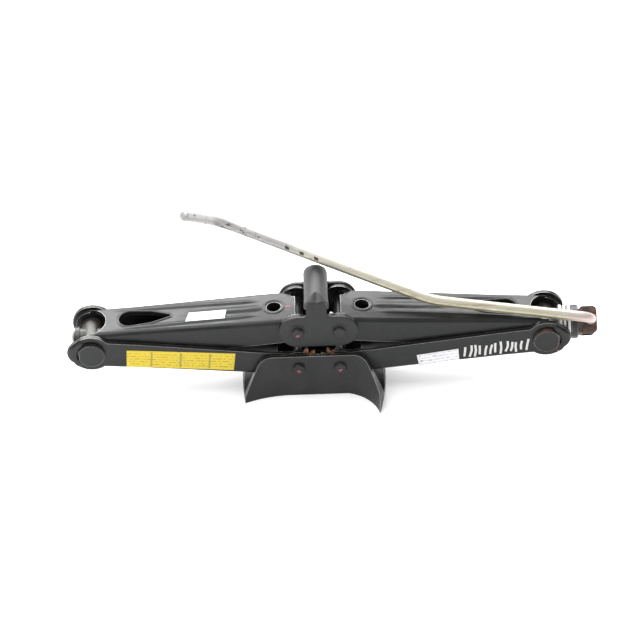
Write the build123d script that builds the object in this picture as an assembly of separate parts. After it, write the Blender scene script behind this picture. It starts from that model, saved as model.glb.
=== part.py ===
from build123d import *

import os
from math import acos, asin, cos, degrees, pi, radians, sin, tan

# Scissor jack, folded flat with its crank laid back over it. Millimetres, +X towards the
# crank end, +Y to the rear, +Z up. The origin is the centre of the foot's flat underside.

# Linkage
ARM_LENGTH = 160.0  # pivot to elbow, all four arms
PIVOT_HALF = 16.0  # each foot and head pivot stands this far from the middle
FOOT_PIVOT_Z = 27.5
CLOSED_RISE = 16.25  # elbow above the foot pivot when folded

# Sheet steel
SHEET = 3.0
UPPER_SHEET = 2.8
BEND_R = 4.0  # outside radius of the channel bends
SIDE_GAP = 0.3  # between flat faces that slide on each other
RUNNING = 0.05  # radial play of a pin in its hole

# Widths over the flanges are half widths, from the middle plane
LOWER_HALF_ELBOW = 20.0
LOWER_HALF_FOOT = 22.7
HEAD_GAP = 0.4

# Arm channels, heights above and below the line between pivots
LOWER_TOP = 11.0
LOWER_WEB_FOOT = -10.4
LOWER_WEB_ELBOW = -14.3
LOWER_RING_R = 16.0
LOWER_NOSE_REACH = 18.6  # the front flange alone runs past the ring
LOWER_NOSE_R = 9.5
UPPER_WEB_HEAD = 9.3
UPPER_WEB_ELBOW = 15.2
UPPER_EDGE = -11.0
UPPER_RING_R = 13.2
SPREAD_START = 30.0  # the flanges spread between these distances from the pivot
SPREAD_END = ARM_LENGTH - 35.0
LOWER_WEB_START = 16.0
UPPER_WEB_START = 0.5
UPPER_WEB_END_R = 16.0  # concave end of each web at the elbow
LOWER_WEB_END_R = 21.0
WEB_END_AT = ARM_LENGTH + 3.0
RELIEF_R = 2.6
TEARDROP = ((128.0, 8.4), (113.0, 6.4), (98.0, 1.0))  # circles, distance and radius
WEB_HOLE_R = 5.6
WEB_HOLE_AT = 17.0

# Gear sectors on the arm ends
TEETH = 16  # in a full turn
PRESSURE_ANGLE = 20.0
ADDENDUM = 0.9  # in modules
DEDENDUM = 1.3
FLANK_STEPS = 5  # straight pieces of each tooth flank
BACKLASH = 0.35  # along the pitch circle
TEETH_LEFT = (-1, 0, 1, 2, 3)  # tooth steps from the line between the pivots
TEETH_RIGHT = (-0.5, 0.5, 1.5, 2.5)

# Foot
FOOT_TOP = 39.0
FOOT_LEFT = 60.5  # reach of the sole each side of the middle
FOOT_RIGHT = 51.5
FOOT_TOP_LEFT = 44.5  # reach of the flanges' square top corners
FOOT_TOP_RIGHT = 33.5
FOOT_CORNER_R = 13.0
FOOT_PARALLEL = PIVOT_HALF + 6.0  # half the length without flare, past the pin heads
FOOT_FLARE_LEFT = 8.0
FOOT_FLARE_RIGHT = 25.0
FOOT_BULGE_LEFT = 2.0  # how far each end's middle stands past its corners
FOOT_BULGE_RIGHT = 6.0
FOOT_ARC_X = 0.52  # where the middle of each flare's arc lies, as shares of its run
FOOT_ARC_Y = 0.25
FOOT_TOP_FLARE = 0.02  # share of the flare left at the top, so that no edge is lost

# Head
HEAD_TOOTH_GAP = 0.4  # from the lobes down to the lower gears' tip circles
HEAD_CROWN = 33.0  # above its pivots
HEAD_NECK_HALF = 7.75
HEAD_BRIDGE_R = 9.3

# Pins and rivets
PIVOT_PIN_R = 4.0
RIVET_HEAD_R = 4.75
RIVET_HEAD_H = 2.6
JOURNAL_R = 6.5
SPIGOT_R = 4.0
SPIGOT_DEEP = 5.0
ELBOW_HEAD_R = 10.5
ELBOW_HEAD_H = 3.0
ELBOW_FLAT = 9.2
EASED = 0.6  # chamfer on turned heads

# Screw line, distances outward from an elbow
SCREW_R = 6.0
BARREL_R = 8.5
NECK_R = 7.4
NUT_FACE_R = 8.7
NUT_FACE_T = 3.8
NUT_OUT = 13.1
BLOCK_IN = 10.0
BEARING_OUT = 10.0
SCREW_TAIL = 15.8
RACE_R = 13.4
RACE_T = 2.6
RACE_CLEAR = 0.4  # the still race and the turning screw don't touch
BALL_R = 2.05
BALL_COUNT = 12
BALL_CIRCLE_R = 10.0
CAGE_T = 2.0
CAGE_IN_R = 7.0
CAGE_OUT_R = 12.8
COLLAR_R = 13.2
COLLAR_T = 6.2
COLLAR_EDGE = 0.8
RACE_EDGE = 0.5
THIN_EDGE = 0.3
TAIL_EDGE = 1.0
SCREW_RIVET_R = 7.5
SCREW_RIVET_H = 1.4

# Yoke and crank
YOKE_T = 3.0
YOKE_LONG = 13.9
YOKE_HALF = 10.5
YOKE_DEPTH = 11.0
YOKE_CORNER_R = 3.5
HINGE_AT = 8.9  # hinge axis beyond the yoke's inner face
HINGE_TILT = 45.8  # hinge axis above the horizontal, leaning to the front
ROD_R = 4.0
ROD_OFFSET = 24.0
ROD_TAIL = 15.6
ROD_WASHER_R = 7.2
ROD_WASHER_T = 1.6
HOOK_R = 10.0
ARM_A = 124.0
ARM_A_ANGLE = 8.1
ARM_B = 173.0
ARM_B_ANGLE = 22.5
GRIP = 52.0
GRIP_ANGLE = -2.5
GRIP_OUT = 60.5  # the grip leans this far out of the arm's plane
BEND_A_R = 90.0
BEND_B_R = 26.0

# Worked out
CLOSED_ANGLE = degrees(asin(CLOSED_RISE / ARM_LENGTH))
ELBOW_X = PIVOT_HALF + ARM_LENGTH * cos(radians(CLOSED_ANGLE))
ELBOW_Z = FOOT_PIVOT_Z + CLOSED_RISE
HEAD_PIVOT_Z = FOOT_PIVOT_Z + 2 * CLOSED_RISE
PITCH_R = PIVOT_HALF
MODULE = 2 * PITCH_R / TEETH
GEAR_ROOT_R = PITCH_R - DEDENDUM * MODULE
GEAR_TIP_R = PITCH_R + ADDENDUM * MODULE
TOOTH_STEP = 360.0 / TEETH
HEAD_LOBE_R = 2 * CLOSED_RISE - GEAR_TIP_R - HEAD_TOOTH_GAP
UPPER_HALF_ELBOW = LOWER_HALF_ELBOW - SHEET - SIDE_GAP
UPPER_HALF_HEAD = LOWER_HALF_FOOT - SHEET - 3 * SIDE_GAP
FOOT_HALF_IN = LOWER_HALF_FOOT + SIDE_GAP
FOOT_HALF = FOOT_HALF_IN + SHEET
HEAD_HALF_IN = UPPER_HALF_HEAD + HEAD_GAP
HEAD_HALF = HEAD_HALF_IN + SHEET
BLOCK_HALF = UPPER_HALF_ELBOW - UPPER_SHEET - SIDE_GAP
RACE_OUT = BEARING_OUT + RACE_T
BALL_MID = RACE_OUT + BALL_R
OUTER_RACE_IN = BALL_MID + BALL_R
COLLAR_IN = OUTER_RACE_IN + RACE_T
YOKE_IN = COLLAR_IN + COLLAR_T
HINGE_X = ELBOW_X + YOKE_IN + HINGE_AT
FAR = 400.0
OVER = 20.0


def cylinder_x(x0, x1, radius):
    """A bar along X, centred on the middle plane at z = 0."""
    return Pos((x0 + x1) / 2, 0, 0) * Rot(0, 90, 0) * Cylinder(radius, x1 - x0)


def cylinder_y(y0, y1, radius):
    """A bar along Y through the origin."""
    return Pos(0, (y0 + y1) / 2, 0) * Rot(90, 0, 0) * Cylinder(radius, y1 - y0)


def side_prism(outline, half=FAR):
    """An outline drawn in X and Z, carried across to both sides of the middle plane."""
    return extrude(Plane.XZ * outline, half, both=True)


def plan_prism(outline, half=FAR):
    """An outline drawn in X and Y, carried up and down."""
    return extrude(outline, half, both=True)


def polygon(*points):
    """A face inside a closed run of straight edges."""
    return make_face(Polyline(*points, close=True))


def involute(angle, radius):
    """A point of the tooth flank at a radius; angle is the flank's place at the pitch circle."""
    base_r = PITCH_R * cos(radians(PRESSURE_ANGLE))
    at_pitch = tan(radians(PRESSURE_ANGLE)) - radians(PRESSURE_ANGLE)
    pressure = acos(min(1.0, base_r / radius))
    turn = angle + at_pitch - (tan(pressure) - pressure)
    return radius, turn


def tooth(direction):
    """One involute tooth in X and Z about the origin, pointing at an angle in degrees."""
    half = (pi * MODULE / 2 - BACKLASH) / 2 / PITCH_R
    base_r = PITCH_R * cos(radians(PRESSURE_ANGLE))
    radii = [base_r + (GEAR_TIP_R - base_r) * i / FLANK_STEPS for i in range(FLANK_STEPS + 1)]
    flank = [involute(half, r) for r in radii]
    foot = [(GEAR_ROOT_R - 1.0, flank[0][1])]
    side = foot + flank
    polar = [(r, -t) for r, t in side] + [(r, t) for r, t in reversed(side)]
    turn = radians(direction)
    return polygon(*[(r * cos(turn + t), r * sin(turn + t)) for r, t in polar])


def gear_sector(directions):
    """The toothed end of an arm: a root disc with its teeth."""
    sector = Circle(GEAR_ROOT_R)
    for direction in directions:
        sector = sector + tooth(direction)
    return sector


def channel_plan(half_pivot, half_elbow, inset=0.0):
    """The channel seen from above: parallel at each end, spreading between them."""
    a = half_pivot - inset
    b = half_elbow - inset
    right = [(-FAR, a), (SPREAD_START, a), (SPREAD_END, b), (FAR, b)]
    left = [(x, -y) for x, y in reversed(right)]
    return polygon(*right, *left)


def web_end_cut(radius):
    """The concave end that leaves room for the trunnion, seen from above."""
    beyond = polygon((WEB_END_AT, -FAR), (FAR, -FAR), (FAR, FAR), (WEB_END_AT, FAR))
    return Pos(WEB_END_AT, 0) * Circle(radius) + beyond


def arm_hole(x, radius):
    """A cross hole through both flanges."""
    return Pos(x, 0, 0) * cylinder_y(-FAR, FAR, radius)


def bent_channel(section, half_pivot, half_elbow, radius):
    """A closed bar with the channel's outline from above, its web's two long edges rounded."""
    bar = side_prism(section) & plan_prism(channel_plan(half_pivot, half_elbow))
    web_is_low = section.center().Y < 0
    bends = []
    for edge in bar.edges():
        at_web = edge.center().Z < 0 if web_is_low else edge.center().Z > 0
        if at_web and abs(edge.tangent_at(0.5).X) > 0.9:
            bends.append(edge)
    return fillet(bends, radius)


def flange_plate(outline, half_pivot, half_elbow, sheet, sign):
    """One flange's end plates, cut to an outline seen from the side; sign is the side in Y."""
    one_side = Pos(0, sign * FAR / 2) * Rectangle(2 * FAR, FAR)
    outer = channel_plan(half_pivot, half_elbow) & one_side
    inner = channel_plan(half_pivot, half_elbow, sheet)
    return side_prism(outline) & plan_prism(outer - inner)


def channel_arm(section, hollow, outlines, half_pivot, half_elbow, sheet, ends):
    """A folded channel: the web's ends cut back, end plates added, cross holes drilled.

    Outlines are the end plates' shapes on the flange at -Y and on the flange at +Y.
    """
    inner_half = (half_pivot - sheet, half_elbow - sheet)
    inside = bent_channel(hollow, *inner_half, BEND_R - sheet)
    plan = channel_plan(half_pivot, half_elbow, sheet)
    arm = bent_channel(section, half_pivot, half_elbow, BEND_R) - inside
    arm = arm - plan_prism(ends & plan)
    for sign, outline in zip((-1, 1), outlines):
        arm = arm + flange_plate(outline, half_pivot, half_elbow, sheet, sign)
    arm = arm - arm_hole(0, PIVOT_PIN_R + RUNNING)
    return arm - arm_hole(ARM_LENGTH, JOURNAL_R + RUNNING)


def web_start(distance):
    """Everything on the pivot side of the web's inner end, seen from above."""
    return polygon((-FAR, -FAR), (distance, -FAR), (distance, FAR), (-FAR, FAR))


def lower_arm(steps, nose_sign):
    """A channel open upwards, its foot pivot at the origin and its elbow along +X.

    The flange on the side nose_sign in Y runs past the elbow in a rounded nose.
    """
    section = polygon(
        (0, LOWER_WEB_FOOT), (ARM_LENGTH, LOWER_WEB_ELBOW), (ARM_LENGTH, LOWER_TOP), (0, LOWER_TOP)
    )
    hollow = polygon(
        (-OVER, LOWER_WEB_FOOT + SHEET),
        (ARM_LENGTH + OVER, LOWER_WEB_ELBOW + SHEET),
        (ARM_LENGTH + OVER, LOWER_TOP + 1),
        (-OVER, LOWER_TOP + 1),
    )
    nose_at = ARM_LENGTH + LOWER_NOSE_REACH - LOWER_NOSE_R
    ring = Pos(ARM_LENGTH, 0) * Circle(LOWER_RING_R)
    nose = make_hull((ring + Pos(nose_at, 0) * Circle(LOWER_NOSE_R)).edges())
    mesh = 180.0 - CLOSED_ANGLE
    teeth = [mesh - step * TOOTH_STEP for step in steps]
    plain = ring + gear_sector(teeth)
    outlines = [nose + gear_sector(teeth), plain][::-nose_sign]
    ends = web_start(LOWER_WEB_START) + web_end_cut(LOWER_WEB_END_R)
    halves = (LOWER_HALF_FOOT, LOWER_HALF_ELBOW)
    return channel_arm(section, hollow, outlines, *halves, SHEET, ends)


def upper_arm(steps):
    """A channel open downwards, its head pivot at the origin and its elbow along +X."""
    section = polygon(
        (0, UPPER_EDGE), (ARM_LENGTH, UPPER_EDGE), (ARM_LENGTH, UPPER_WEB_ELBOW), (0, UPPER_WEB_HEAD)
    )
    hollow = polygon(
        (-OVER, UPPER_EDGE - 1),
        (ARM_LENGTH + OVER, UPPER_EDGE - 1),
        (ARM_LENGTH + OVER, UPPER_WEB_ELBOW - UPPER_SHEET),
        (-OVER, UPPER_WEB_HEAD - UPPER_SHEET),
    )
    ring = Pos(ARM_LENGTH, 0) * Circle(UPPER_RING_R)
    mesh = 180.0 + CLOSED_ANGLE
    teeth = [mesh + step * TOOTH_STEP for step in steps]
    relief_y = UPPER_HALF_HEAD - UPPER_SHEET - RELIEF_R
    relief = Pos(UPPER_WEB_START + 1, relief_y) * Circle(RELIEF_R)
    relief = relief + Pos(UPPER_WEB_START + 1, -relief_y) * Circle(RELIEF_R)
    ends = web_start(UPPER_WEB_START) + relief + web_end_cut(UPPER_WEB_END_R)
    halves = (UPPER_HALF_HEAD, UPPER_HALF_ELBOW)
    outlines = [ring + gear_sector(teeth)] * 2
    arm = channel_arm(section, hollow, outlines, *halves, UPPER_SHEET, ends)
    rims = [edge for x, radius in TEARDROP for edge in (Pos(x, 0) * Circle(radius)).edges()]
    lightening = make_hull(rims) + Pos(WEB_HOLE_AT, 0) * Circle(WEB_HOLE_R)
    return arm - extrude(lightening, FAR)


def place_arm(arm, pivot_z, angle, side):
    """Turns an arm to its folded angle and moves it to its pivot; side is 1 right, -1 left."""
    placed = Pos(PIVOT_HALF, 0, pivot_z) * Rot(0, angle, 0) * arm
    return placed if side > 0 else Rot(0, 0, 180) * placed


def foot_plan(z_share, inset, over=0.0):
    """The foot from above: parallel in the middle, its corners spreading out near the floor."""
    half = FOOT_HALF - inset
    edges = [
        Line((-FOOT_PARALLEL, half), (FOOT_PARALLEL, half)),
        Line((-FOOT_PARALLEL, -half), (FOOT_PARALLEL, -half)),
    ]
    ends = (
        (-1, FOOT_LEFT, FOOT_BULGE_LEFT, FOOT_FLARE_LEFT),
        (1, FOOT_RIGHT, FOOT_BULGE_RIGHT, FOOT_FLARE_RIGHT),
    )
    for sign, reach, bulge, flare in ends:
        wide = half + flare * z_share
        corner = sign * (reach + over - bulge)
        start = sign * FOOT_PARALLEL
        edges.append(ThreePointArc((start, half), *bend_points(start, half, corner, wide)))
        edges.append(ThreePointArc((start, -half), *bend_points(start, -half, corner, -wide)))
        edges.append(ThreePointArc((corner, wide), (sign * (reach + over), 0), (corner, -wide)))
    return make_face(edges)


def bend_points(x0, y0, x1, y1):
    """Middle and end points of an arc that leaves (x0, y0) along X and ends at (x1, y1)."""
    dx = x1 - x0
    dy = y1 - y0
    middle_x = x0 + dx * FOOT_ARC_X
    middle_y = y0 + dy * FOOT_ARC_Y
    return (middle_x, middle_y), (x1, y1)


def foot_channel():
    """The pressed foot: a channel with a flat sole whose lower corners flare outwards."""
    low = 1.0 - (1.0 - FOOT_TOP_FLARE) * SHEET / FOOT_TOP
    outer = loft([foot_plan(1.0, 0), Pos(0, 0, FOOT_TOP) * foot_plan(FOOT_TOP_FLARE, 0)])
    inner_low = Pos(0, 0, SHEET) * foot_plan(low, SHEET, OVER)
    inner_top = Pos(0, 0, FOOT_TOP) * foot_plan(FOOT_TOP_FLARE, SHEET, OVER)
    side = polygon(
        (-FOOT_LEFT, 0), (FOOT_RIGHT, 0), (FOOT_TOP_RIGHT, FOOT_TOP), (-FOOT_TOP_LEFT, FOOT_TOP)
    )
    corners = side.vertices().sort_by(Axis.Y)[-2:]
    side = fillet(corners, FOOT_CORNER_R)
    foot = (outer - loft([inner_low, inner_top])) & side_prism(side)
    for x in (-PIVOT_HALF, PIVOT_HALF):
        foot = foot - Pos(x, 0, FOOT_PIVOT_Z) * cylinder_y(-FAR, FAR, PIVOT_PIN_R)
    return foot


def head_saddle():
    """The head: two lobed plates joined over the top by a rounded bridge."""
    half_long = PIVOT_HALF + HEAD_LOBE_R
    lobes = Pos(0, HEAD_PIVOT_Z) * SlotOverall(2 * half_long, 2 * HEAD_LOBE_R)
    bridge_z = HEAD_PIVOT_Z + HEAD_CROWN - HEAD_BRIDGE_R
    neck = Pos(0, (HEAD_PIVOT_Z + bridge_z) / 2) * Rectangle(
        2 * HEAD_NECK_HALF, bridge_z - HEAD_PIVOT_Z
    )
    dome = Pos(0, bridge_z) * Circle(HEAD_BRIDGE_R)
    above = Pos(0, bridge_z + FAR / 2) * Rectangle(FAR, FAR)
    plate = lobes + neck + (dome & above)
    inner_plate = Pos(0, HEAD_PIVOT_Z - FAR / 2) * Rectangle(FAR, FAR) + Pos(
        0, (HEAD_PIVOT_Z + bridge_z) / 2
    ) * Rectangle(FAR, bridge_z - HEAD_PIVOT_Z)
    inner_dome = Pos(0, bridge_z) * Circle(HEAD_BRIDGE_R - SHEET)
    head = side_prism(plate, HEAD_HALF) - side_prism(inner_plate + inner_dome, HEAD_HALF_IN)
    for x in (-PIVOT_HALF, PIVOT_HALF):
        head = head - Pos(x, 0, HEAD_PIVOT_Z) * cylinder_y(-FAR, FAR, PIVOT_PIN_R)
    return head


def rivet(half):
    """A full-width pivot rivet with a low round head at each end."""
    shank = cylinder_y(-half, half, PIVOT_PIN_R)
    for sign in (-1, 1):
        cap = cylinder_y(0, RIVET_HEAD_H, RIVET_HEAD_R)
        cap = fillet(cap.edges().sort_by(Axis.Y)[-1], RIVET_HEAD_H / 2)
        cap = Pos(0, half, 0) * cap
        shank = shank + (cap if sign > 0 else Rot(180, 0, 0) * cap)
    return shank


def elbow_pin(side, depth_sign):
    """A journal with a broad round head that has one flat, and a spigot pressed in the block."""
    inside = BLOCK_HALF
    face = LOWER_HALF_ELBOW + SIDE_GAP
    spigot = cylinder_y(inside - SPIGOT_DEEP, inside, SPIGOT_R)
    journal = cylinder_y(inside, face, JOURNAL_R)
    head = cylinder_y(face, face + ELBOW_HEAD_H, ELBOW_HEAD_R)
    head = chamfer(head.edges().sort_by(Axis.Y)[-1], EASED)
    head = head - Pos(side * (ELBOW_FLAT + FAR / 2), 0, 0) * Box(FAR, FAR, FAR)
    pin = spigot + journal + head
    pin = pin if depth_sign > 0 else Rot(180, 0, 0) * pin
    return Pos(side * ELBOW_X, 0, ELBOW_Z) * pin


def trunnion(side, out, face_r):
    """A cross barrel with a neck along the screw, bored for the screw and for its two pins."""
    barrel = cylinder_y(-BLOCK_HALF, BLOCK_HALF, BARREL_R)
    x0, x1 = sorted((-side * BLOCK_IN, side * out))
    block = barrel + cylinder_x(x0, x1, NECK_R)
    x0, x1 = sorted((side * (out - NUT_FACE_T), side * out))
    block = block + cylinder_x(x0, x1, face_r)
    block = block - cylinder_x(-FAR, FAR, SCREW_R + RUNNING)
    for sign in (-1, 1):
        y0, y1 = sorted((sign * (BLOCK_HALF - SPIGOT_DEEP), sign * (BLOCK_HALF + 1)))
        block = block - cylinder_y(y0, y1, SPIGOT_R)
    return Pos(side * ELBOW_X, 0, ELBOW_Z) * block


def on_screw(shape):
    """Moves a shape drawn along X at z = 0 to the screw line, measured from the right elbow."""
    return Pos(ELBOW_X, 0, ELBOW_Z) * shape


def washer_x(x0, x1, outer_r, inner_r, edge=RACE_EDGE):
    """A flat ring around the screw line with eased outer edges."""
    ring = cylinder_x(x0, x1, outer_r)
    ring = chamfer(ring.edges(), edge)
    return ring - cylinder_x(-FAR, FAR, inner_r)


def lead_screw():
    """The screw from its tail past the nut to its riveted end inside the yoke."""
    tail = -2 * ELBOW_X - SCREW_TAIL
    end = YOKE_IN + YOKE_T
    bar = cylinder_x(tail, end, SCREW_R)
    bar = chamfer(bar.edges().sort_by(Axis.X)[0], TAIL_EDGE)
    return on_screw(bar + cylinder_x(end, end + SCREW_RIVET_H, SCREW_RIVET_R))


def balls(radius):
    """The balls of the thrust bearing, spaced on their circle."""
    ring = []
    for i in range(BALL_COUNT):
        turn = 2 * pi * i / BALL_COUNT
        y = BALL_CIRCLE_R * cos(turn)
        z = BALL_CIRCLE_R * sin(turn)
        ring.append(on_screw(Pos(BALL_MID, y, z) * Sphere(radius)))
    return ring


def bearing_cage():
    """The ring that keeps the balls apart."""
    half = CAGE_T / 2
    ring = washer_x(BALL_MID - half, BALL_MID + half, CAGE_OUT_R, CAGE_IN_R, THIN_EDGE)
    for i in range(BALL_COUNT):
        turn = 2 * pi * i / BALL_COUNT
        y = BALL_CIRCLE_R * cos(turn)
        z = BALL_CIRCLE_R * sin(turn)
        ring = ring - Pos(BALL_MID, y, z) * cylinder_x(-CAGE_T, CAGE_T, BALL_R + RUNNING)
    return on_screw(ring)


# The crank's own frame: its local Z is the hinge axis, its local X the screw line
def crank_plane():
    """A plane whose normal is the hinge axis and whose X runs outward along the screw."""
    tilt = radians(HINGE_TILT)
    return Plane(
        origin=(HINGE_X, 0, ELBOW_Z), x_dir=(1, 0, 0), z_dir=(0, -cos(tilt), sin(tilt))
    )


def yoke():
    """A bent strap: a web riveted on the screw's end and two ears for the crank's hook."""
    x0 = -HINGE_AT
    block = Pos(x0 + YOKE_LONG / 2, 0, 0) * Box(YOKE_LONG, 2 * YOKE_HALF, 2 * YOKE_DEPTH)
    block = fillet(block.edges().filter_by(Axis.Z), YOKE_CORNER_R)
    gap = Pos(x0 + YOKE_T + FAR / 2, 0, 0) * Box(FAR, FAR, 2 * (YOKE_DEPTH - YOKE_T))
    bracket = block - gap - Cylinder(ROD_R + RUNNING, FAR)
    bracket = bracket - cylinder_x(-FAR, FAR, SCREW_R)
    return crank_plane() * bracket


def crank_points():
    """Corners of the rod's centreline: hook tail, hook, two runs of the arm, grip."""
    tail = Vector(0, 0, -ROD_TAIL)
    hook = Vector(0, 0, ROD_OFFSET)
    a = radians(ARM_A_ANGLE)
    b = radians(ARM_B_ANGLE)
    g = radians(GRIP_ANGLE)
    lean = radians(GRIP_OUT)
    knee = hook + Vector(-cos(a), sin(a), 0) * ARM_A
    wrist = knee + Vector(-cos(b), sin(b), 0) * ARM_B
    along = Vector(-cos(g), sin(g), 0) * (GRIP * cos(lean))
    end = wrist + along + Vector(0, 0, GRIP * sin(lean))
    return [tail, hook, knee, wrist, end]


def crank():
    """One bent rod: hook through the yoke, a cranked arm and the grip."""
    path = FilletPolyline(*crank_points(), radius=[HOOK_R, BEND_A_R, BEND_B_R])
    start = Plane(origin=path @ 0, z_dir=path % 0)
    rod = sweep(start * Circle(ROD_R), path)
    return crank_plane() * rod


def crank_washer():
    """The washer that keeps the hook in the yoke, next to the far ear."""
    high = -YOKE_DEPTH - 2 * SIDE_GAP
    ring = Pos(0, 0, high - ROD_WASHER_T / 2) * Cylinder(ROD_WASHER_R, ROD_WASHER_T)
    ring = chamfer(ring.edges(), THIN_EDGE)
    return crank_plane() * (ring - Cylinder(ROD_R, FAR))


def write(name, shapes):
    """Writes one node, a single solid or a group of separate solids."""
    solids = []
    for shape in shapes if isinstance(shapes, list) else [shapes]:
        solids.extend(shape.solids())
    body = solids[0] if len(solids) == 1 else Compound(children=solids)
    export_step(body, "parts/" + name + ".step")


os.makedirs("parts", exist_ok=True)

write("foot_channel", foot_channel())
write("head_saddle", head_saddle())
for side, word in ((-1, "left"), (1, "right")):
    teeth = TEETH_LEFT if side < 0 else TEETH_RIGHT
    lower = place_arm(lower_arm(teeth, -side), FOOT_PIVOT_Z, -CLOSED_ANGLE, side)
    upper = place_arm(upper_arm(teeth), HEAD_PIVOT_Z, CLOSED_ANGLE, side)
    write("lower_arm_" + word, lower)
    write("upper_arm_" + word, upper)
    foot_pin = Pos(side * PIVOT_HALF, 0, FOOT_PIVOT_Z) * rivet(FOOT_HALF)
    head_pin = Pos(side * PIVOT_HALF, 0, HEAD_PIVOT_Z) * rivet(HEAD_HALF)
    write("foot_pivot_pin_" + word, foot_pin)
    write("head_pivot_pin_" + word, head_pin)
    write("elbow_pin_" + word + "_front", elbow_pin(side, -1))
    write("elbow_pin_" + word + "_rear", elbow_pin(side, 1))
write("nut_trunnion", trunnion(-1, NUT_OUT, NUT_FACE_R))
write("bearing_trunnion", trunnion(1, BEARING_OUT, NECK_R))
write("lead_screw", lead_screw())
write("thrust_race_inner", on_screw(washer_x(BEARING_OUT, RACE_OUT, RACE_R, SCREW_R + RACE_CLEAR)))
write("thrust_balls", balls(BALL_R))
write("ball_cage", bearing_cage())
write("thrust_race_outer", on_screw(washer_x(OUTER_RACE_IN, COLLAR_IN, RACE_R, SCREW_R)))
write("screw_collar", on_screw(washer_x(COLLAR_IN, YOKE_IN, COLLAR_R, SCREW_R, COLLAR_EDGE)))
write("crank_yoke", yoke())
write("crank_rod", crank())
write("crank_washer", crank_washer())
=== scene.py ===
import math

import bmesh
import bpy
import numpy as np
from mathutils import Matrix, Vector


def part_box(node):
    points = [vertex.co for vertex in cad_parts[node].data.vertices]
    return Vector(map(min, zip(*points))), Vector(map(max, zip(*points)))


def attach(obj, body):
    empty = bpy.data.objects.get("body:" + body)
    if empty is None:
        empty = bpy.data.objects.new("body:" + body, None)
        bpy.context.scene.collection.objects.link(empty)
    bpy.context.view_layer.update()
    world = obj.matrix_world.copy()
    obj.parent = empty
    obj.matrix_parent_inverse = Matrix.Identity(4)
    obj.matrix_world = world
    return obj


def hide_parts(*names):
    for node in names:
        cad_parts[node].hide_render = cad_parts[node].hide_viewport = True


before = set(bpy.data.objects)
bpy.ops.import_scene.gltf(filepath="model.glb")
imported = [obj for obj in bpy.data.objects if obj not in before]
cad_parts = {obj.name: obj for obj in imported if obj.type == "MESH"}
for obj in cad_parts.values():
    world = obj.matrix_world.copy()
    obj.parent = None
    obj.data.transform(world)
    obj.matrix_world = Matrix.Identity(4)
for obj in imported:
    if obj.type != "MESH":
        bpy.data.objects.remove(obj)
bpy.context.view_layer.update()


# ---------------------------------------------------------------------------
# Foot: a channel pressed from 3 mm sheet, its sole flat on the ground and its lower corners
# flared for grip. Stoved satin black paint over the whole jack, scuffed through on the edges.
# ---------------------------------------------------------------------------

def node_group(name, inputs, outputs):
    """An empty shader node group with float inputs (name, value) and outputs (name, type)."""
    group = bpy.data.node_groups.new(name, "ShaderNodeTree")
    for title, value in inputs:
        socket = group.interface.new_socket(title, in_out="INPUT", socket_type="NodeSocketFloat")
        socket.default_value = value
    for title, kind in outputs:
        group.interface.new_socket(title, in_out="OUTPUT", socket_type=kind)
    return group, group.nodes.new("NodeGroupInput"), group.nodes.new("NodeGroupOutput")


def add_node(tree, kind, settings=None, inputs=None):
    """A node with its settings, and its inputs given as values or as sockets to link."""
    node = tree.nodes.new(kind)
    for key, value in (settings or {}).items():
        setattr(node, key, value)
    for key, value in (inputs or {}).items():
        if isinstance(value, bpy.types.NodeSocket):
            tree.links.new(value, node.inputs[key])
        else:
            node.inputs[key].default_value = value
    return node


def math_node(tree, operation, a, b=0.0, clamp=False):
    """One arithmetic step between sockets or numbers."""
    node = add_node(tree, "ShaderNodeMath", {"operation": operation, "use_clamp": clamp}, {0: a, 1: b})
    return node.outputs[0]


def ramp(tree, value, low, high):
    """Stretches a value so that low becomes 0 and high becomes 1, clamped."""
    settings = {"clamp": True, "interpolation_type": "SMOOTHSTEP"}
    node = add_node(tree, "ShaderNodeMapRange", settings, {0: value, 1: low, 2: high})
    return node.outputs[0]


def noise(tree, scale, detail=4.0, rough=0.55, distortion=0.0, coordinates=None):
    """Fractal noise on object coordinates, in features per metre."""
    where = coordinates or add_node(tree, "ShaderNodeTexCoord").outputs["Object"]
    settings = {"Scale": scale, "Detail": detail, "Roughness": rough, "Distortion": distortion}
    return add_node(tree, "ShaderNodeTexNoise", None, {"Vector": where, **settings}).outputs["Fac"]


def blend_colour(tree, share, a, b):
    """A colour between a and b."""
    node = add_node(tree, "ShaderNodeMix", {"data_type": "RGBA"}, {0: share, 6: a, 7: b})
    return node.outputs[2]


def worn_edge_group():
    """Mask of rubbed edges: how far a rounded normal leaves the true one, broken up by noise."""
    inputs = (("Width", 0.0008), ("Breakup", 900.0), ("Amount", 0.5))
    group, given, result = node_group("worn_edge", inputs, (("Mask", "NodeSocketFloat"),))
    rounded = add_node(group, "ShaderNodeBevel", {"samples": 6}, {"Radius": given.outputs["Width"]})
    flat = add_node(group, "ShaderNodeNewGeometry").outputs["Normal"]
    dot = add_node(group, "ShaderNodeVectorMath", {"operation": "DOT_PRODUCT"}, {0: flat})
    group.links.new(rounded.outputs[0], dot.inputs[1])
    bend = math_node(group, "SUBTRACT", 1.0, dot.outputs["Value"])
    patches = noise(group, given.outputs["Breakup"], 5.0, 0.65)
    lift = math_node(group, "SUBTRACT", math_node(group, "ADD", patches, given.outputs["Amount"]), 1.0)
    rubbed = math_node(group, "ADD", bend, math_node(group, "MULTIPLY", lift, 0.35))
    strong = math_node(group, "MULTIPLY", ramp(group, rubbed, 0.02, 0.16), ramp(group, bend, 0.01, 0.05))
    group.links.new(strong, result.inputs["Mask"])
    return group


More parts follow.
